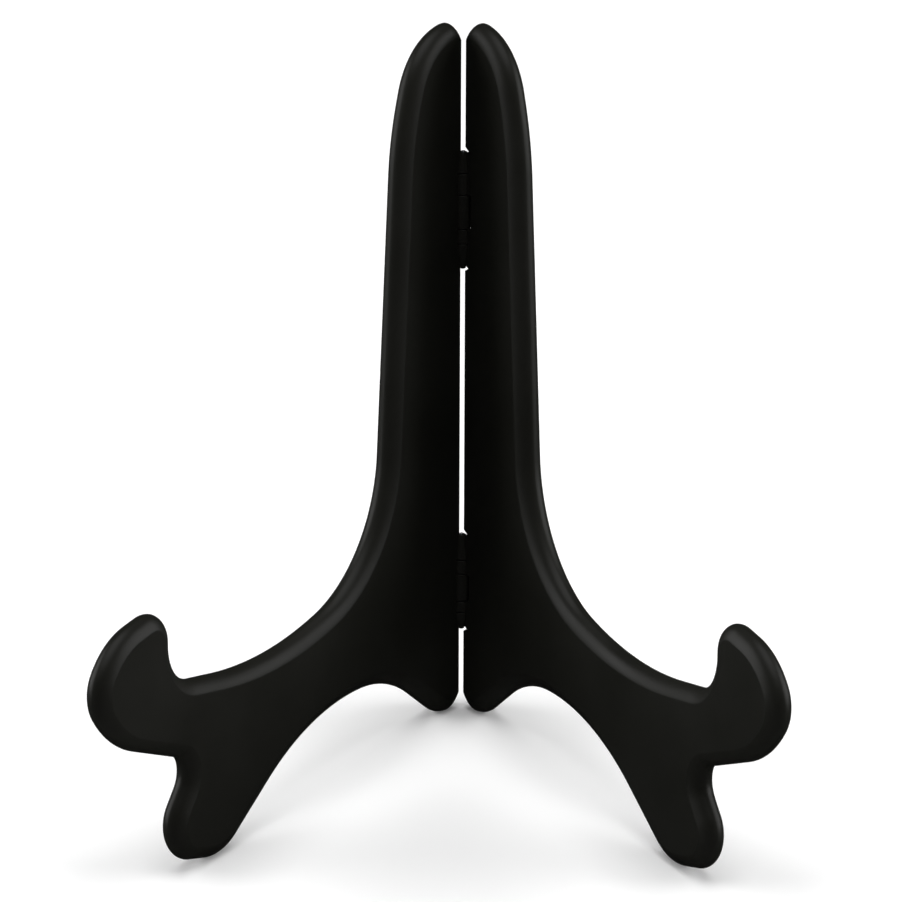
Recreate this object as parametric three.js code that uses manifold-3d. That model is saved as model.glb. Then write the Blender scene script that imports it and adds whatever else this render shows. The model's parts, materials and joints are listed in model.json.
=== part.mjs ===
// Folding album stand: two moulded leaves that stand in a V, joined by two pinned hinges.
// Each leaf is drawn flat as it stands (forward, up), then turned about the leaning hinge line.
import * as THREE from 'three';
import { mergeVertices } from 'three/addons/utils/BufferGeometryUtils.js';
import Module from 'manifold-3d';

const wasm = await Module();
wasm.setup();

// Whole stand
const height = 250;            // crown above the table
const openAngle = 63;          // between the two leaves as it stands
const lean = 8;                // hinge line leans back from upright
// Leaf
const thickness = 10;
const edgeRound = 5;           // how far the round edge reaches in from the outline
const partingBand = 0.6;       // narrow flat where the two mould halves meet
const foldedGap = 0.3;         // between the two inner faces when folded
const rearSetback = 1.2;       // rear edge in front of the hinge line
const rearCorner = 3;          // rounding at both ends of the rear edge
const footReach = 144;         // hinge foot to the back of the toe
const ledgeReach = 102;        // hinge foot to the lowest part of the album ledge
const ledgeHeight = 59;
const hookReach = 211;         // hinge foot to the front of the hook
const hookRise = 43;           // hook tip above the ledge
const soleCut = 0.35;          // flat left under heel and toe
// Hinges
const barrelRadius = 2.75;
const blindTip = 1.15;         // radius of the closed cone under each hinge
const coneWall = 0.5;          // wall round the pin at the open cone above it
const coneStart = 2;           // straight barrel before a cone begins
const pinDiameter = 1.6;
const pinClearance = 0.3;
const pinStand = 0.5;          // pin showing above the open cone
const pinSeat = 3;             // depth of the bore in the closed cone
const pinEase = 0.2;           // how far both ends of a pin draw in
const pinFootEase = 0.4;       // and over what length
const pinHeadEase = 0.3;
const clearance = 0.35;        // between moving faces
const slitDepth = 5.2;         // notch in the right leaf beside the middle knuckle
const flareDepth = 3.6;        // reach of the V beside a cone's tip
const flareSpan = 2.8;
const flareAboveBottom = 0.6;  // middle of the V, from the bottom cone's tip
const flareAboveTop = 0.8;
const webInto = 0.5;           // how far a knuckle's web runs into its leaf
const webInset = 0.05;         // web held just inside the barrel
const bareTip = 1;             // end of a cone that stands free of its web
const hinges = [
  {
    name: 'upper',
    centre: height - 66.5,
    middle: 12.5,
    above: 7.8,
    below: 5.3,
    coneAbove: 7.5,
    coneBelow: 9.5,
  },
  {
    name: 'lower',
    centre: 45,
    middle: 10,
    above: 5.2,
    below: 4.2,
    coneAbove: 9.2,
    coneBelow: 6.5,
  },
];
// Facets on the round edge, on each corner of the outline, and round a barrel
const edgeFacets = 4;
const cornerFacets = 4;
const barrelFacets = 24;

const rad = THREE.MathUtils.degToRad;
const halfOpen = rad(openAngle / 2);
const axisLean = rad(lean);
const innerFace = foldedGap / 2;
const outerFace = innerFace + thickness;
// Seen square to a leaf the hinge line leans a little less, and the leaf's faces aren't quite upright.
const leafLean = Math.atan(Math.cos(halfOpen) * Math.tan(axisLean));
const rise = Math.cos(axisLean) / Math.cos(leafLean);
const faceDrop = Math.sin(halfOpen) * Math.sin(axisLean) * (innerFace + thickness / 2);
const tableLevel = soleCut - faceDrop;
const leafTop = (height + soleCut) / rise;

// A closed outline through corners [x, y, radius], each rounded as far as its two sides allow.
function roundedOutline(corners) {
  const points = corners.map(([x, y]) => new THREE.Vector2(x, y));
  const sides = points.map((point, i) => points[(i + 1) % points.length].clone().sub(point));
  const turns = sides.map((side, i) => {
    const last = sides.at(i - 1);
    return Math.atan2(last.cross(side), last.dot(side));
  });
  const reach = corners.map(([, , radius], i) => radius * Math.abs(Math.tan(turns[i] / 2)));
  const fit = sides.map((side, i) => {
    const next = reach[(i + 1) % reach.length];
    return Math.min(1, side.length() / (reach[i] + next));
  });
  const shape = new THREE.Shape();
  corners.forEach(([, , wanted], i) => {
    const radius = wanted * Math.min(fit[i], fit.at(i - 1));
    const bend = Math.sign(turns[i]);
    const along = sides.at(i - 1).clone().normalize();
    const start = points[i].clone().addScaledVector(along, -radius * Math.abs(Math.tan(turns[i] / 2)));
    const centre = start.clone().add(new THREE.Vector2(-along.y, along.x).multiplyScalar(bend * radius));
    const from = Math.atan2(start.y - centre.y, start.x - centre.x);
    shape.absarc(centre.x, centre.y, radius, from, from + turns[i], bend < 0);
  });
  return shape;
}

// Corners given as the leaf stands, turned to the leaf's own axes.
function standing(corners) {
  const origin = new THREE.Vector2();
  return corners.map(([forward, up, radius]) => {
    const point = new THREE.Vector2(forward, up).rotateAround(origin, -leafLean);
    return [point.x, point.y, radius];
  });
}

// Where a rear edge, at a set distance in front of the hinge line, reaches a height.
function rearAt(up, distance) {
  return (distance - up * Math.sin(leafLean)) / Math.cos(leafLean);
}

// The leaf's outline. It runs on behind the rear edge, which is cut square afterwards.
function leafOutline() {
  const behind = -2 * edgeRound;
  return roundedOutline(standing([
    [rearAt(0, behind), 0, edgeRound + 1],
    [10, 0, 8],                                         // heel
    [38, 25, 38],                                       // arch, rear
    [footReach - 55, 29.5, 76],                         // arch, front
    [footReach + 1.3, -0.5, 7.8],
    [footReach + 40, 10.5, 13.8],                       // toe
    [footReach + 11.5, ledgeHeight - 20, 8],            // ankle
    [hookReach - 10, ledgeHeight + 1, 36],              // under the hook
    [hookReach, ledgeHeight + 22.5, 15],                // front of the hook
    [hookReach - 14, ledgeHeight + hookRise - 4, 28],
    [hookReach - 45, ledgeHeight + hookRise, 9.5],      // hook tip
    [hookReach - 42, ledgeHeight + 10, 18],             // album notch
    [ledgeReach, ledgeHeight, 115],                     // album ledge
    [37, ledgeHeight + 9, 53],                          // foot of the mast
    [7.5, leafTop - 31, 45],
    [-9, leafTop, 22],                                  // crown
    [rearAt(leafTop, behind), leafTop, edgeRound + 1],
  ]));
}

// Everything in front of the rear edge, with that edge's two ends rounded.
function rearOutline() {
  const beyond = hookReach + height;
  return roundedOutline(standing([
    [rearAt(0, rearSetback), 0, rearCorner],
    [beyond, 0, 1],
    [beyond, leafTop, 1],
    [rearAt(leafTop, rearSetback), leafTop, rearCorner],
  ]));
}

// A closed three.js geometry as a solid. Slivers at the poles of turned shapes drop out.
function solid(geometry) {
  geometry.deleteAttribute('normal');
  geometry.deleteAttribute('uv');
  const merged = mergeVertices(geometry, 1e-4);
  const index = [];
  for (let i = 0; i < merged.index.count; i += 3) {
    const triangle = [0, 1, 2].map((k) => merged.index.getX(i + k));
    if (new Set(triangle).size === 3) index.push(...triangle);
  }
  return new wasm.Manifold(new wasm.Mesh({
    numProp: 3,
    vertProperties: new Float32Array(merged.attributes.position.array),
    triVerts: new Uint32Array(index),
  }));
}

function geometryOf(manifold) {
  const mesh = manifold.getMesh();
  const geometry = new THREE.BufferGeometry();
  geometry.setAttribute('position', new THREE.BufferAttribute(mesh.vertProperties, 3));
  geometry.setIndex(new THREE.BufferAttribute(mesh.triVerts, 1));
  return geometry;
}

// Leaf axes: x forward from the hinge line, y across the leaf, z up the hinge line.
// side is +1 on the right leaf, whose thickness runs along +y, and -1 on the left.
function plate(shape, low, high, side, bevel) {
  const settings = { depth: high - low, curveSegments: cornerFacets, ...bevel };
  const geometry = new THREE.ExtrudeGeometry(shape, settings);
  geometry.translate(0, 0, side > 0 ? -high : low);
  return solid(geometry.rotateX(Math.PI / 2));
}

function leafBlank(side) {
  const halfRound = (thickness - partingBand) / 2;
  const rounded = plate(leafOutline(), innerFace + halfRound, outerFace - halfRound, side, {
    bevelThickness: halfRound,
    bevelSize: edgeRound,
    bevelOffset: -edgeRound,
    bevelSegments: edgeFacets,
  });
  return rounded.intersect(plate(rearOutline(), 0, 2 * outerFace, side, { bevelEnabled: false }));
}

// A turned solid on the hinge line, from [radius, height] steps.
function turned(steps) {
  const bottom = steps[0][1];
  const top = steps.at(-1)[1];
  const profile = [[0, bottom], ...steps, [0, top]].map(([r, z]) => new THREE.Vector2(r, z));
  return solid(new THREE.LatheGeometry(profile, barrelFacets).rotateX(Math.PI / 2));
}

// The web that ties a knuckle to its own leaf. slopes are how far each end slants, below and above.
function web(side, low, high, slopes = [0, 0]) {
  const into = rearSetback + webInto;
  const shape = new THREE.Shape();
  shape.moveTo(0, low + slopes[0]);
  shape.lineTo(into, low);
  shape.lineTo(into, high);
  shape.lineTo(0, high - slopes[1]);
  return plate(shape, innerFace, barrelRadius - webInset, side, { bevelEnabled: false });
}

// Heights where one hinge's five knuckles meet, from the bottom tip to the top tip.
function levels({ centre, middle, above, below, coneAbove, coneBelow }) {
  const low = centre - middle / 2;
  const high = centre + middle / 2;
  return {
    bottomTip: low - below - coneBelow,
    bottomCone: low - below,
    low,
    high,
    topCone: high + above,
    topTip: high + above + coneAbove,
  };
}

const gap = clearance / 2;
const boreRadius = pinDiameter / 2 + pinClearance;
const openTip = boreRadius + coneWall;

function leftKnuckles(h) {
  const below = h.bottomCone - gap;
  const above = h.topCone + gap;
  return wasm.Manifold.union([
    turned([[blindTip, h.bottomTip], [barrelRadius, below - coneStart], [barrelRadius, below]]),
    web(-1, h.bottomTip + bareTip, below, [coneStart, 0]),
    turned([[barrelRadius, h.low + gap], [barrelRadius, h.high - gap]]),
    web(-1, h.low + gap, h.high - gap),
    turned([[barrelRadius, above], [barrelRadius, above + coneStart], [openTip, h.topTip]]),
    web(-1, above, h.topTip - bareTip, [0, coneStart]),
  ]);
}

function rightKnuckles(h) {
  const spans = [[h.bottomCone + gap, h.low - gap], [h.high + gap, h.topCone - gap]];
  return wasm.Manifold.union(spans.flatMap(([low, high]) => [
    turned([[barrelRadius, low], [barrelRadius, high]]),
    web(1, low, high),
  ]));
}

// Room in the left leaf for the right leaf's two knuckles.
function leftPockets(h) {
  const room = barrelRadius + clearance;
  return wasm.Manifold.union([
    turned([[room, h.bottomCone - gap], [room, h.low + gap]]),
    turned([[room, h.high - gap], [room, h.topCone + gap]]),
  ]);
}

// A notch in the inner corner of the right leaf's rear edge, drawn as [forward, height] corners.
function rearNotch(corners) {
  const shape = new THREE.Shape(corners.map(([x, z]) => new THREE.Vector2(x, z)));
  return plate(shape, 0, barrelRadius + clearance, 1, { bevelEnabled: false });
}

// The rear edge opens in a V beside each cone's tip.
function flare(centre) {
  const low = centre - flareSpan / 2;
  const high = centre + flareSpan / 2;
  return rearNotch([[0, low], [rearSetback, low], [flareDepth, centre], [rearSetback, high], [0, high]]);
}

// Room in the right leaf for the left leaf's middle knuckle and its two cones.
function rightPockets(h) {
  const room = barrelRadius + clearance;
  return wasm.Manifold.union([
    turned([[blindTip + clearance, h.bottomTip - clearance], [room, h.bottomCone - coneStart],
      [room, h.bottomCone + gap]]),
    turned([[room, h.topCone - gap], [room, h.topCone + coneStart],
      [openTip + clearance, h.topTip + clearance]]),
    rearNotch([[0, h.low - gap], [slitDepth, h.low - gap], [slitDepth, h.high + gap], [0, h.high + gap]]),
    flare(h.bottomTip + flareAboveBottom),
    flare(h.topTip + flareAboveTop),
  ]);
}

function pinBore(h) {
  return turned([[boreRadius, h.bottomCone - pinSeat], [boreRadius, h.topTip + pinStand]]);
}

function hingePin(h) {
  const radius = pinDiameter / 2;
  const foot = h.bottomCone - pinSeat + pinClearance;
  const head = h.topTip + pinStand;
  return turned([
    [radius - pinEase, foot],
    [radius, foot + pinFootEase],
    [radius, head - pinHeadEase],
    [radius - pinEase, head],
  ]);
}

// A leaf turned to its side of the V, its fold line on the hinge line.
function leafPlace(side) {
  return new THREE.Euler(0, 0, side * halfOpen - Math.PI / 2);
}

const hingeLine = new THREE.Group();
hingeLine.rotation.x = -axisLean;

// The table, in a leaf's own axes, takes a thin slice off heel and toe.
function table(side) {
  const depth = 40;
  const slab = new THREE.BoxGeometry(4 * hookReach, 4 * hookReach, depth);
  slab.translate(0, 0, tableLevel - depth / 2);
  const toLeaf = new THREE.Matrix4().makeRotationFromEuler(hingeLine.rotation)
    .multiply(new THREE.Matrix4().makeRotationFromEuler(leafPlace(side)));
  return solid(slab.applyMatrix4(toLeaf.invert()));
}

function leaf(side, knuckles, pockets) {
  const all = hinges.map(levels);
  const shaped = leafBlank(side)
    .subtract(wasm.Manifold.union(all.map(pockets)))
    .add(wasm.Manifold.union(all.map(knuckles)))
    .subtract(wasm.Manifold.union([...all.map(pinBore), table(side)]));
  return geometryOf(shaped);
}

const blackPlastic = { color: 0x1b1b1a, roughness: 0.4, metalness: 0 };
const steel = { color: 0xb9bcc0, roughness: 0.3, metalness: 1 };

function piece(name, geometry, look) {
  const mesh = new THREE.Mesh(geometry, new THREE.MeshStandardMaterial(look));
  mesh.name = name;
  return mesh;
}

const leftLeaf = piece('left_leaf', leaf(-1, leftKnuckles, leftPockets), blackPlastic);
leftLeaf.rotation.copy(leafPlace(-1));
const rightLeaf = piece('right_leaf', leaf(1, rightKnuckles, rightPockets), blackPlastic);
rightLeaf.rotation.copy(leafPlace(1));
hingeLine.add(leftLeaf, rightLeaf);
for (const hinge of hinges) {
  hingeLine.add(piece(`${hinge.name}_hinge_pin`, geometryOf(hingePin(levels(hinge))), steel));
}

// The origin is on the table, under the middle of the stand.
const stand = new THREE.Group();
stand.add(hingeLine);
hingeLine.position.z = -tableLevel;
const middle = new THREE.Box3().setFromObject(stand, true).getCenter(new THREE.Vector3());
hingeLine.position.x = -middle.x;
hingeLine.position.y = -middle.y;

export default stand;
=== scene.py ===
# Folding album stand: two black moulded leaves that stand in a V, joined by two pinned hinges.
import json
import math

import bmesh
import bpy
from mathutils import Matrix, Vector, geometry


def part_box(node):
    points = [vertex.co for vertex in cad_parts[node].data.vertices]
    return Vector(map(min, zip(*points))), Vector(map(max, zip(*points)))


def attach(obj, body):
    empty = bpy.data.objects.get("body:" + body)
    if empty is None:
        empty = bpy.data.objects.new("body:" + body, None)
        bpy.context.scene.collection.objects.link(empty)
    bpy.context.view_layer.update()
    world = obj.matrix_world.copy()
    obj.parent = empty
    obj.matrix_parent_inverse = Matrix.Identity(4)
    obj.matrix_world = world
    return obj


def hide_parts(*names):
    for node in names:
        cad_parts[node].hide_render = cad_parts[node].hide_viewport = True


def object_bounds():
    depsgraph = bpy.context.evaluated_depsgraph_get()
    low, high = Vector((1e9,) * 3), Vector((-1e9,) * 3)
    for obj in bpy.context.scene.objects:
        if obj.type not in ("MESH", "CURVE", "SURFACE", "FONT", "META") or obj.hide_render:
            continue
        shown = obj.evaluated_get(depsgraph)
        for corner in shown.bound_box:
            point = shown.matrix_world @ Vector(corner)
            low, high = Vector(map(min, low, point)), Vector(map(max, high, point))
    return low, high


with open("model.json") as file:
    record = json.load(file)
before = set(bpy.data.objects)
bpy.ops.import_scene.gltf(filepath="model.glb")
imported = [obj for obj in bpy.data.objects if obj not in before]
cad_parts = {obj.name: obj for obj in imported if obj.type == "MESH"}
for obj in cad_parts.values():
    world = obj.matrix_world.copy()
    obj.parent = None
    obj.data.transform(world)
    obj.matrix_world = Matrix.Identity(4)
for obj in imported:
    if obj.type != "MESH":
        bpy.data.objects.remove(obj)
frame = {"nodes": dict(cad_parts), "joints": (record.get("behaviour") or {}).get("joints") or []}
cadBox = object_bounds()
print("frame loaded:", sorted(frame["nodes"]))

mm = 0.001
fold = frame["joints"][0]
hingeFoot = Vector(fold["pos_m"])
hingeAxis = Vector(fold["axis"])
lean = math.atan2(hingeAxis.y, hingeAxis.z)  # the hinge line leans back from upright


# Everything below is drawn in millimetres on a leaf's own axes until it is put in its place:
# x forward from the hinge line, y up the hinge line, z out through the leaf's thickness.
leafShape = {
    "openAngle": 63,        # between the two leaves, degrees
    "innerFace": 0.15,      # inner face in front of the hinge line
    "thickness": 10,
    "partingBand": 0.3,     # flat where the two mould halves meet
    "rimReach": 5,          # how far the round edge reaches in
    "rimHandles": ((0.19, 2.16), (1.94, 3.86)),  # inset and rise: full at the middle, then a long slope
    "rimSteps": 13,
    "creaseStep": (0.15, 0.03),  # inset and rise of the softened crease
    "flatRing": 0.45,       # narrow ring that keeps the big faces flat in the shading
    "rearEdge": 0.9,        # in front of the hinge line
    "rearCorner": 4.5,        # rounding at both ends of the rear edge
    "heelSink": 0.9,        # the heel's curve is drawn this far under the table and cut off flat
    "rearSoftening": 0.5,   # rounding along the rear edge
    "rearColumns": (0, 0.04, 0.15, 0.3, 0.5, 0.9, 1.5, 2.2, 3.2),  # steps of both roundings
    "hookReach": 212.8,
    "hookRise": 43.4,
    "ledgeReach": 108.6,
    "ledgeHeight": 58.5,
    "footReach": 145.3,
    "arcStep": 4,           # degrees between points on a curve
    "longestStep": 2.5,
    "mergeWithin": 0.2,
    "sharpOver": 30,        # degrees; shading breaks across sharper edges
}

halfOpen = math.radians(leafShape["openAngle"] / 2)
leafMiddle = leafShape["innerFace"] + leafShape["thickness"] / 2
leafLean = math.atan(math.cos(halfOpen) * math.tan(lean))  # the hinge line's lean seen square to a leaf
leafRise = math.cos(lean) / math.cos(leafLean)
faceDrop = math.sin(halfOpen) * math.sin(lean) * leafMiddle
leafTop = ((cadBox[1].z - hingeFoot.z) / mm + faceDrop) / leafRise


def outlineCorners(s):  # [forward, up, radius] as the leaf stands, heel first
    hook, ledge, foot, rest = s["hookReach"], s["ledgeReach"], s["footReach"], s["ledgeHeight"]
    behind = -10 / math.cos(leafLean)  # the outline runs on behind the rear edge and is cut there
    return [
        (behind, -s["heelSink"], 6),
        (8.5, -s["heelSink"], 18),             # heel
        (38, 25.4, 58),                        # arch between heel and toe
        (foot - 57.4, 30.6, 104),
        (foot + 0.3, -1.6, 22),
        (foot + 38.7, 10.7, 13.8),             # toe
        (foot + 11.3, rest - 19.2, 7.8),       # ankle
        (hook - 12, rest + 1.8, 41),           # under the hook
        (hook, rest + 22.8, 15.7),             # front of the hook
        (hook - 15.3, rest + s["hookRise"] - 2.7, 30),
        (hook - 47.7, rest + s["hookRise"], 11.4),  # hook tip
        (hook - 44.9, rest + 13.4, 16.6),      # album notch
        (ledge, rest - 0.7, 160),              # ledge the album rests on
        (37.7, rest + 10.6, 54),               # foot of the mast
        (9.6, leafTop - 33, 110),
        (-5.4, leafTop - 0.5, 29),                     # crown
        (behind - leafTop * math.tan(leafLean), leafTop, 6),
    ]


def drawOutline(bm, corners, s):  # spins one point round each corner and joins the arcs into a face
    points = [Vector((x, y, 0)) for x, y, radius in corners]
    ways = [(points[(i + 1) % len(points)] - p) for i, p in enumerate(points)]
    turns = []
    for i, way in enumerate(ways):
        before = ways[i - 1]
        turns.append(math.atan2(before.cross(way).z, before.dot(way)))
    reach = [corner[2] * abs(math.tan(turn / 2)) for corner, turn in zip(corners, turns)]
    fits = [min(1, w.length / (reach[i] + reach[(i + 1) % len(reach)])) for i, w in enumerate(ways)]
    ends = []
    for i, (point, turn) in enumerate(zip(points, turns)):
        radius = corners[i][2] * min(fits[i], fits[i - 1])
        along = ways[i - 1].normalized()
        start = point - along * radius * abs(math.tan(turn / 2))
        centre = start + Vector((-along.y, along.x, 0)) * math.copysign(radius, turn)
        steps = max(abs(math.degrees(turn)) / s["arcStep"], radius * abs(turn) / s["longestStep"], 2)
        first = bmesh.ops.create_vert(bm, co=start)["vert"][0]
        spun = bmesh.ops.spin(bm, geom=[first], cent=centre, axis=(0, 0, 1), angle=turn,
                              steps=math.ceil(steps))
        last = [e for e in spun["geom_last"] if isinstance(e, bmesh.types.BMVert)][0]
        ends.append((first, last))
    for i, (first, last) in enumerate(ends):
        bm.edges.new((ends[i - 1][1], first))
    bmesh.ops.remove_doubles(bm, verts=bm.verts, dist=s["mergeWithin"])  # where two arcs meet
    return bmesh.ops.contextual_create(bm, geom=bm.edges[:])["faces"][0]


def rimSteps(s):  # (inset, rise) from the parting band up to the flat face
    reach = s["rimReach"] - s["creaseStep"][0]
    rise = (s["thickness"] - s["partingBand"]) / 2 - s["creaseStep"][1]
    near, far = (Vector(handle) for handle in s["rimHandles"])
    curve = geometry.interpolate_bezier(Vector((0, 0)), near, far, Vector((reach, rise)), s["rimSteps"])
    steps = [tuple(after - before) for before, after in zip(curve, curve[1:])]
    return steps + [s["creaseStep"], (s["flatRing"], 0)]


def leafBlank(s):
    bm = bmesh.new()
    turned = Matrix.Rotation(-leafLean, 3, "Z")
    corners = []
    for forward, up, radius in outlineCorners(s):
        point = turned @ Vector((forward, up, 0))
        corners.append((point.x, point.y, radius))
    face = drawOutline(bm, corners, s)
    bmesh.ops.translate(bm, verts=bm.verts, vec=(0, 0, leafMiddle - s["partingBand"] / 2))
    grown = bmesh.ops.extrude_face_region(bm, geom=[face])["geom"]
    raised = [e for e in grown if isinstance(e, bmesh.types.BMVert)]
    bmesh.ops.translate(bm, verts=raised, vec=(0, 0, s["partingBand"]))
    bmesh.ops.recalc_face_normals(bm, faces=bm.faces)
    caps = [f for f in bm.faces if abs(f.normal.z) > 0.5]
    for inset, rise in rimSteps(s):  # each step is a ring of the round edge, on both sides at once
        for cap in caps:
            bmesh.ops.inset_region(bm, faces=[cap], thickness=inset, depth=rise, use_even_offset=True,
                                   use_boundary=True)
    cutRear(bm, s)
    return bm


def allOf(bm):
    return bm.verts[:] + bm.edges[:] + bm.faces[:]


def cutRear(bm, s):  # the rear edge: cut straight, then rounded along its length and at both ends
    for column in s["rearColumns"] + (s["rearCorner"],):
        place = (s["rearEdge"] + column, 0, 0)
        cut = bmesh.ops.bisect_plane(bm, geom=allOf(bm), dist=1e-5, plane_co=place, plane_no=(1, 0, 0),
                                     clear_inner=column == 0)
        if column == 0:
            rim = [e for e in cut["geom_cut"] if isinstance(e, bmesh.types.BMEdge)]
            bmesh.ops.holes_fill(bm, edges=rim, sides=0)
    corner, soft, half = s["rearCorner"], s["rearSoftening"], s["thickness"] / 2
    fade = 3 * corner  # the rounding dies away over this height
    for v in bm.verts:
        back = max(0, v.co.x - s["rearEdge"])
        if back >= corner:
            continue
        up = v.co.x * math.sin(leafLean) + v.co.y * math.cos(leafLean)  # height as the leaf stands
        drop = corner - math.sqrt(corner ** 2 - (corner - back) ** 2)
        v.co.y -= drop * max(0, 1 - (leafTop - up) / fade)
        v.co.y += drop * max(0, 1 - up / fade)
        if back < soft:
            narrow = soft - math.sqrt(soft ** 2 - (soft - back) ** 2)
            v.co.z = leafMiddle + (v.co.z - leafMiddle) * (1 - narrow / half)


def spunSolid(profile, segments=48):  # profile is (radius, height) up the hinge line, ends on it
    bm = bmesh.new()
    chain = [bmesh.ops.create_vert(bm, co=(r, h, 0))["vert"][0] for r, h in profile]
    edges = [bm.edges.new(pair) for pair in zip(chain, chain[1:])]
    bmesh.ops.spin(bm, geom=chain + edges, cent=(0, 0, 0), axis=(0, 1, 0), angle=2 * math.pi,
                   steps=segments, use_merge=True)
    bmesh.ops.remove_doubles(bm, verts=bm.verts, dist=1e-4)
    bmesh.ops.recalc_face_normals(bm, faces=bm.faces)
    return bm


def prism(corners, low, high):  # a flat shape in x and y, standing from low to high in z
    bm = bmesh.new()
    verts = [bmesh.ops.create_vert(bm, co=(x, y, low))["vert"][0] for x, y in corners]
    face = bmesh.ops.contextual_create(bm, geom=verts)["faces"][0]
    grown = bmesh.ops.extrude_face_region(bm, geom=[face])["geom"]
    raised = [e for e in grown if isinstance(e, bmesh.types.BMVert)]
    bmesh.ops.translate(bm, verts=raised, vec=(0, 0, high - low))
    bmesh.ops.recalc_face_normals(bm, faces=bm.faces)
    return bm


hingeShape = {
    "barrelRadius": 2.75,
    "barrelEdge": 0.15,    # small chamfer on each knuckle's end
    "blindTip": 1.15,      # radius of the closed cone at the bottom
    "openTip": 1.6,        # radius of the open cone at the top, round its bore
    "coneStart": 2,
    "boreRadius": 1.1,
    "clearance": 0.35,
    "pocketEase": 0.04,    # pockets run a hair past the knuckles' ends
    "pinSeat": 3,          # bore in the closed cone
    "pinShort": 0.3,       # the pin stops short of its bore's end
    "pinStand": 0.5,       # pin showing above the open cone
    "slitDepth": 5.2,
    "flareDepth": 3.6,
    "flareSpan": 2.8,
    "flareAbove": (0.6, 0.8),  # middle of each V above the bottom and the top tip
    "webInto": 1.9,        # how far a web runs into its leaf
    "webEase": 0.03,       # a web stops just short of its knuckle's ends
    "webInset": 0.05,      # and of the barrel's sides
    "boreBeyond": 1,       # the bore is cut this far past the pin's head
    "hinges": {
        "upper": {"middle": 12.5, "above": 7.8, "below": 5.3, "coneAbove": 7.5, "coneBelow": 9.5},
        "lower": {"middle": 10, "above": 5.2, "below": 4.2, "coneAbove": 9.2, "coneBelow": 6.5},
    },
}


def hingeLevels(name, s):  # heights up the hinge line where one hinge's knuckles meet
    h = s["hinges"][name]
    low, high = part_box(name + "_hinge_pin")
    pinMiddle = ((low + high) / 2 - hingeFoot).dot(hingeAxis) / mm
    bottomCone = -h["middle"] / 2 - h["below"]
    topTip = h["middle"] / 2 + h["above"] + h["coneAbove"]
    pinFoot = bottomCone - s["pinSeat"] + s["pinShort"]
    centre = pinMiddle - (pinFoot + topTip + s["pinStand"]) / 2
    return {
        "bottomTip": centre + bottomCone - h["coneBelow"],
        "bottomCone": centre + bottomCone,
        "low": centre - h["middle"] / 2,
        "high": centre + h["middle"] / 2,
        "topCone": centre + h["middle"] / 2 + h["above"],
        "topTip": centre + topTip,
        "pinFoot": centre + pinFoot,
        "pinHead": centre + topTip + s["pinStand"],
    }


def barrel(low, high, s):  # a straight knuckle with its ends eased
    r, e = s["barrelRadius"], s["barrelEdge"]
    return spunSolid([(0, low), (r - e, low), (r, low + e), (r, high - e), (r - e, high), (0, high)])


def web(low, high, slopes, s):  # ties a knuckle to its own leaf; slopes follow a cone's slant
    low, high = low + s["webEase"], high - s["webEase"]
    corners = [(0, low + slopes[0]), (s["webInto"], low), (s["webInto"], high), (0, high - slopes[1])]
    return prism(corners, leafShape["innerFace"] + s["webInset"], s["barrelRadius"] - s["webInset"])


def leftKnuckles(h, s):
    gap, cone, r, e = s["clearance"] / 2, s["coneStart"], s["barrelRadius"], s["barrelEdge"]
    below, above = h["bottomCone"] - gap, h["topCone"] + gap
    bottom, top = h["bottomTip"], h["topTip"]
    tip = s["blindTip"]
    closedCone = [(0, bottom), (tip * 0.6, bottom + 0.05), (tip * 0.9, bottom + 0.3),
                  (tip + 0.1, bottom + 0.8), (r, below - cone), (r, below - e), (r - e, below), (0, below)]
    openCone = [(0, above), (r - e, above), (r, above + e), (r, above + cone),
                (s["openTip"] + 0.05, top - 0.15), (s["openTip"] - 0.1, top), (0, top)]
    return [
        spunSolid(closedCone), web(bottom + 1, below, (cone, 0), s),
        barrel(h["low"] + gap, h["high"] - gap, s), web(h["low"] + gap, h["high"] - gap, (0, 0), s),
        spunSolid(openCone), web(above, top - 1, (0, cone), s),
    ]


def rightKnuckles(h, s):
    gap = s["clearance"] / 2
    parts = []
    spans = ((h["bottomCone"] + gap, h["low"] - gap), (h["high"] + gap, h["topCone"] - gap))
    for low, high in spans:
        parts += [barrel(low, high, s), web(low, high, (0, 0), s)]
    return parts


def leftPockets(h, s):  # room in the left leaf for the right leaf's knuckles
    gap, room = s["clearance"] / 2 + s["pocketEase"], s["barrelRadius"] + s["clearance"]
    parts = []
    spans = ((h["bottomCone"] - gap, h["low"] + gap), (h["high"] - gap, h["topCone"] + gap))
    for low, high in spans:
        parts.append(spunSolid([(0, low), (room, low), (room, high), (0, high)]))
    return parts


def rightPockets(h, s):  # room in the right leaf for the middle knuckle and the two cones
    gap, more, room = s["clearance"] / 2, s["clearance"], s["barrelRadius"] + s["clearance"]
    bottom, top = h["bottomTip"] - more, h["topTip"] + more
    parts = [
        spunSolid([(0, bottom), (s["blindTip"] + more, bottom), (room, h["bottomCone"] - s["coneStart"]),
                   (room, h["bottomCone"] + gap), (0, h["bottomCone"] + gap)]),
        spunSolid([(0, h["topCone"] - gap), (room, h["topCone"] - gap),
                   (room, h["topCone"] + s["coneStart"]), (s["openTip"] + more, top), (0, top)]),
    ]
    low, high, deep = h["low"] - gap, h["high"] + gap, s["slitDepth"]
    parts.append(prism([(0, low), (deep, low), (deep, high), (0, high)], -1, room))
    edge = leafShape["rearEdge"]
    for tip, above in zip((h["bottomTip"], h["topTip"]), s["flareAbove"]):  # the edge opens in a V here
        middle = tip + above
        low, high = middle - s["flareSpan"] / 2, middle + s["flareSpan"] / 2
        corners = [(0, low), (edge, low), (s["flareDepth"], middle), (edge, high), (0, high)]
        parts.append(prism(corners, -1, room))
    return parts


def asObject(name, bm):
    mesh = bpy.data.meshes.new(name)
    bm.to_mesh(mesh)
    bm.free()
    made = bpy.data.objects.new(name, mesh)
    bpy.context.scene.collection.objects.link(made)
    return made


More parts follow.
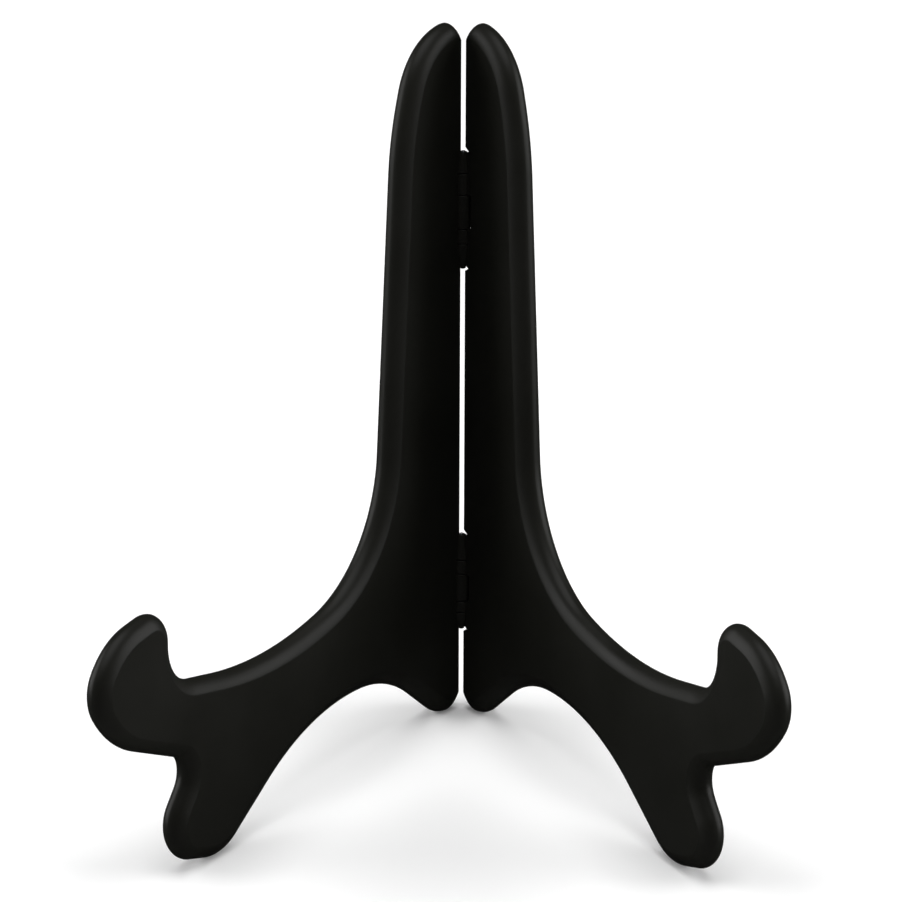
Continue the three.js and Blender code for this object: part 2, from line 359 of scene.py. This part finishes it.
def carve(body, parts, operation):  # joins or cuts away each part in turn
    for part in parts:
        tool = asObject("tool", part)
        step = body.modifiers.new("carve", "BOOLEAN")
        step.solver = "EXACT"
        step.operation = operation
        step.object = tool
        graph = bpy.context.evaluated_depsgraph_get()
        shaped = bpy.data.meshes.new_from_object(body.evaluated_get(graph))
        body.modifiers.clear()
        old, body.data = body.data, shaped
        bpy.data.meshes.remove(old)
        bpy.data.objects.remove(tool)


def shadeSmooth(bm, angle):  # smooth everywhere but across edges that turn more than angle
    for f in bm.faces:
        f.smooth = True
    for e in bm.edges:
        e.smooth = e.is_manifold and e.calc_face_angle(0) < math.radians(angle)


def placeLeaf(side):  # millimetres on the leaf's axes to metres where it stands
    axes = Matrix(((1, 0, 0, 0), (0, 0, side, 0), (0, 1, 0, 0), (0, 0, 0, 1)))
    turned = Matrix.Rotation(side * halfOpen - math.pi / 2, 4, "Z")
    return (Matrix.Translation(hingeFoot) @ Matrix.Rotation(-lean, 4, "X") @ turned @ axes
            @ Matrix.Scale(mm, 4))


def makeLeaf(name, side, knuckles, pockets):
    levels = [hingeLevels(hinge, hingeShape) for hinge in hingeShape["hinges"]]
    body = asObject(name, leafBlank(leafShape))
    for h in levels:
        carve(body, pockets(h, hingeShape), "DIFFERENCE")
        carve(body, knuckles(h, hingeShape), "UNION")
        bore = hingeShape["boreRadius"]
        foot, head = h["bottomCone"] - hingeShape["pinSeat"], h["pinHead"] + hingeShape["boreBeyond"]
        carve(body, [spunSolid([(0, foot), (bore, foot), (bore, head), (0, head)])], "DIFFERENCE")
    bm = bmesh.new()
    bm.from_mesh(body.data)
    bmesh.ops.transform(bm, matrix=placeLeaf(side), verts=bm.verts)
    cut = bmesh.ops.bisect_plane(bm, geom=allOf(bm), dist=1e-7, plane_co=(0, 0, 0), plane_no=(0, 0, 1),
                                 clear_inner=True)  # heel and toe are flat on the table
    rim = [e for e in cut["geom_cut"] if isinstance(e, bmesh.types.BMEdge)]
    bmesh.ops.holes_fill(bm, edges=rim, sides=0)
    bmesh.ops.remove_doubles(bm, verts=bm.verts, dist=1e-6)
    bmesh.ops.dissolve_degenerate(bm, edges=bm.edges, dist=5e-7)
    bmesh.ops.recalc_face_normals(bm, faces=bm.faces)
    shadeSmooth(bm, leafShape["sharpOver"])
    loose = [e for e in bm.edges if not e.is_manifold]
    bm.to_mesh(body.data)
    bm.free()
    print(name, "made:", len(body.data.polygons), "faces,", len(loose), "open edges")
    return body


leftLeaf = makeLeaf("leftLeafMoulding", -1, leftKnuckles, leftPockets)
rightLeaf = makeLeaf("rightLeafMoulding", 1, rightKnuckles, rightPockets)


pinShape = {
    "radius": 0.8,
    "footEase": 0.35,   # chamfer at the end that is driven in
    "headEase": 0.25,   # rounded end that shows
    "facets": 32,
    "sharpOver": 35,    # degrees
}


def makePin(name, hinge, s):
    h = hingeLevels(hinge, hingeShape)
    r, foot, head = s["radius"], h["pinFoot"], h["pinHead"]
    profile = [(0, foot), (r - s["footEase"] / 2, foot), (r, foot + s["footEase"])]
    for step in range(5):
        a = math.radians(step * 22.5)
        inward, down = 1 - math.cos(a), 1 - math.sin(a)
        profile.append((r - s["headEase"] * inward, head - s["headEase"] * down))
    bm = spunSolid(profile + [(0, head)], s["facets"])
    upright = Matrix.Rotation(math.pi / 2 - lean, 4, "X")
    place = Matrix.Translation(hingeFoot) @ upright @ Matrix.Scale(mm, 4)
    bmesh.ops.transform(bm, matrix=place, verts=bm.verts)
    bmesh.ops.recalc_face_normals(bm, faces=bm.faces)
    shadeSmooth(bm, s["sharpOver"])
    return asObject(name, bm)


upperPin = makePin("upperHingePinWire", "upper", pinShape)
lowerPin = makePin("lowerHingePinWire", "lower", pinShape)
print("hinge pins made")


def linear(hexColour):  # sRGB hex to the linear colour that shaders use
    channels = [int(hexColour[i:i + 2], 16) / 255 for i in (1, 3, 5)]
    return tuple([c / 12.92 if c <= 0.04045 else ((c + 0.055) / 1.055) ** 2.4 for c in channels] + [1])


def addNode(tree, kind, settings=None, links=None):  # links: {input: (node, output)}
    node = tree.nodes.new(kind)
    for key, value in (settings or {}).items():
        if key in node.inputs:
            node.inputs[key].default_value = value
        else:
            setattr(node, key, value)
    for key, (source, output) in (links or {}).items():
        tree.links.new(source.outputs[output], node.inputs[key])
    return node


def newMaterial(name):
    material = bpy.data.materials.new(name)
    material.use_nodes = True
    tree = material.node_tree
    tree.nodes.clear()
    return material, tree


plasticLook = {
    "colour": "#171714",
    "paler": "#1b1b18",
    "roughness": (0.36, 0.46),
    "gloss": 0.1,           # a matt-textured tool leaves less shine than bare polystyrene
    "grainSize": 0.35,     # mm, fine moulded grain
    "grainDepth": 0.006,   # mm
    "cloudSize": 45,       # mm, slow change of gloss across a leaf
}


def satinBlackPlastic(s):  # moulded polystyrene with a fine satin grain: soft highlights, deep black
    material, tree = newMaterial("satinBlackPlastic")
    place = addNode(tree, "ShaderNodeTexCoord")
    cloud = addNode(tree, "ShaderNodeTexNoise", {"Scale": 1 / (s["cloudSize"] * mm), "Detail": 3.0},
                    {"Vector": (place, "Object")})
    grain = addNode(tree, "ShaderNodeTexNoise", {"Scale": 1 / (s["grainSize"] * mm), "Detail": 2.0},
                    {"Vector": (place, "Object")})
    tint = addNode(tree, "ShaderNodeValToRGB", links={"Fac": (cloud, "Fac")})
    tint.color_ramp.elements[0].position = 0.35
    tint.color_ramp.elements[1].position = 0.65
    tint.color_ramp.elements[0].color = linear(s["colour"])
    tint.color_ramp.elements[1].color = linear(s["paler"])
    gloss = addNode(tree, "ShaderNodeMapRange", {"From Min": 0.3, "From Max": 0.7,
                                                 "To Min": s["roughness"][0], "To Max": s["roughness"][1]},
                    {"Value": (cloud, "Fac")})
    bump = addNode(tree, "ShaderNodeBump", {"Strength": 1.0, "Distance": s["grainDepth"] * mm},
                   {"Height": (grain, "Fac")})
    shader = addNode(tree, "ShaderNodeBsdfPrincipled", {"IOR": 1.49, "Specular IOR Level": s["gloss"]}, {
        "Base Color": (tint, "Color"), "Roughness": (gloss, "Result"), "Normal": (bump, "Normal")})
    addNode(tree, "ShaderNodeOutputMaterial", links={"Surface": (shader, "BSDF")})
    return material


steelLook = {
    "colour": "#a6a7aa",
    "roughness": (0.22, 0.36),
    "lineSize": 0.12,      # mm round the wire between drawing lines
    "lineStretch": 30,     # drawing lines run this much longer than wide
    "lineDepth": 0.005,    # mm
}


def drawnSteelWire(s):  # bright drawn wire: fine lines along the pin that break up its highlight
    material, tree = newMaterial("drawnSteelWire")
    place = addNode(tree, "ShaderNodeTexCoord")
    along = addNode(tree, "ShaderNodeMapping", {"Scale": (1, 1, 1 / s["lineStretch"])},
                    {"Vector": (place, "Object")})
    lines = addNode(tree, "ShaderNodeTexNoise", {"Scale": 1 / (s["lineSize"] * mm), "Detail": 2.0},
                    {"Vector": (along, "Vector")})
    gloss = addNode(tree, "ShaderNodeMapRange", {"From Min": 0.3, "From Max": 0.7,
                                                 "To Min": s["roughness"][0], "To Max": s["roughness"][1]},
                    {"Value": (lines, "Fac")})
    bump = addNode(tree, "ShaderNodeBump", {"Strength": 0.5, "Distance": s["lineDepth"] * mm},
                   {"Height": (lines, "Fac")})
    shader = addNode(tree, "ShaderNodeBsdfPrincipled",
                     {"Base Color": linear(s["colour"]), "Metallic": 1.0},
                     {"Roughness": (gloss, "Result"), "Normal": (bump, "Normal")})
    addNode(tree, "ShaderNodeOutputMaterial", links={"Surface": (shader, "BSDF")})
    return material


plastic = satinBlackPlastic(plasticLook)
steel = drawnSteelWire(steelLook)
for piece, node, body, slot, material in (
    (leftLeaf, "left_leaf", "left_leaf", "satin_black_plastic", plastic),
    (rightLeaf, "right_leaf", "right_leaf", "satin_black_plastic", plastic),
    (upperPin, "upper_hinge_pin", "left_leaf", "hinge_pin_steel", steel),
    (lowerPin, "lower_hinge_pin", "left_leaf", "hinge_pin_steel", steel),
):
    piece.data.materials.clear()
    piece.data.materials.append(material)
    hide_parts(node)
    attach(piece, body)
print("pieces finished and riding on their bodies")


studio = {
    "floorColour": "#f2f2f2",
    "floorGlow": 0.12,
    "floorSize": 14,       # metres
    "floorDrop": 0.05,     # mm under the feet, so that the two surfaces don't flicker
    "skyColour": "#ffffff",
    "skyStrength": 0.008,
    "softboxes": [         # name, place (metres from the stand), size, watts
        ("left", (-1.25, 0.15, 0.5), 1.1, 16),
        ("right", (1.25, 0.15, 0.5), 1.1, 16),
    ],
    "lightsAim": (0, 0, 0.1),
    "overhead": 2.3,       # strength of the broad light straight above
    "overheadSpread": 55,  # degrees it seems to fill, for soft shadows
    "wallReach": 7,        # metres out to the pale wall round the floor
    "wallHeight": 6,
}


def makeStudio(s):
    bm = bmesh.new()
    bmesh.ops.create_grid(bm, x_segments=1, y_segments=1, size=s["floorSize"] / 2)
    bmesh.ops.translate(bm, verts=bm.verts, vec=(0, 0, -s["floorDrop"] * mm))
    floor = asObject("studioFloor", bm)
    material, tree = newMaterial("whiteSweep")  # matt white sweep, a little overexposed
    shader = addNode(tree, "ShaderNodeBsdfPrincipled", {
        "Base Color": linear(s["floorColour"]), "Roughness": 0.9, "Specular IOR Level": 0.1,
        "Emission Color": (1, 1, 1, 1), "Emission Strength": s["floorGlow"]})
    addNode(tree, "ShaderNodeOutputMaterial", links={"Surface": (shader, "BSDF")})
    floor.data.materials.append(material)
    floor.visible_glossy = False  # keeps its glare off the dark leaves
    aim = Vector(s["lightsAim"])
    for name, place, size, watts in s["softboxes"]:
        light = bpy.data.lights.new("softbox_" + name, "AREA")
        light.size = size
        light.energy = watts
        lamp = bpy.data.objects.new("softbox_" + name, light)
        lamp.location = place
        lamp.rotation_euler = (aim - Vector(place)).to_track_quat("-Z", "Y").to_euler()
        bpy.context.scene.collection.objects.link(lamp)
    overhead = bpy.data.lights.new("overhead", "SUN")
    overhead.energy = s["overhead"]
    overhead.angle = math.radians(s["overheadSpread"])
    bpy.context.scene.collection.objects.link(bpy.data.objects.new("overhead", overhead))
    bm = bmesh.new()
    bmesh.ops.create_cone(bm, segments=64, radius1=s["wallReach"], radius2=s["wallReach"],
                          depth=s["wallHeight"])
    wall = asObject("studioWall", bm)
    material, tree = newMaterial("whitePaper")  # evenly lit paper, seen only as a background
    paper = addNode(tree, "ShaderNodeEmission", {"Color": (1, 1, 1, 1), "Strength": 1.0})
    addNode(tree, "ShaderNodeOutputMaterial", links={"Surface": (paper, "Emission")})
    wall.data.materials.append(material)
    wall.visible_diffuse = wall.visible_glossy = False
    world = bpy.data.worlds.new("studioAir")
    world.use_nodes = True
    sky = world.node_tree.nodes["Background"]
    sky.inputs["Color"].default_value = linear(s["skyColour"])
    sky.inputs["Strength"].default_value = s["skyStrength"]
    bpy.context.scene.world = world
    bpy.context.scene.view_settings.view_transform = "Standard"


makeStudio(studio)
print("studio ready")


cameraSetup = {
    "azimuth": 2.64,       # degrees round from straight in front
    "elevation": 23.57,
    "roll": -0.16,
    "distance": 3.512,     # metres
    "aim": (-0.0035, 0, 0.1),  # from the foot of the hinge line
    "lens": 394.8,
}


def makeCamera(s):
    azimuth, elevation = math.radians(s["azimuth"]), math.radians(s["elevation"])
    back = Vector((math.sin(azimuth) * math.cos(elevation), -math.cos(azimuth) * math.cos(elevation),
                   math.sin(elevation)))
    data = bpy.data.cameras.new("mainCamera")
    data.lens = s["lens"]
    data.sensor_width = 36
    data.clip_start, data.clip_end = 0.1, 50
    camera = bpy.data.objects.new("mainCamera", data)
    facing = (-back).to_track_quat("-Z", "Y").to_matrix().to_4x4()
    turn = facing @ Matrix.Rotation(math.radians(s["roll"]), 4, "Z")
    camera.matrix_world = Matrix.Translation(hingeFoot + Vector(s["aim"]) + back * s["distance"]) @ turn
    bpy.context.scene.collection.objects.link(camera)
    bpy.context.scene.camera = camera


makeCamera(cameraSetup)
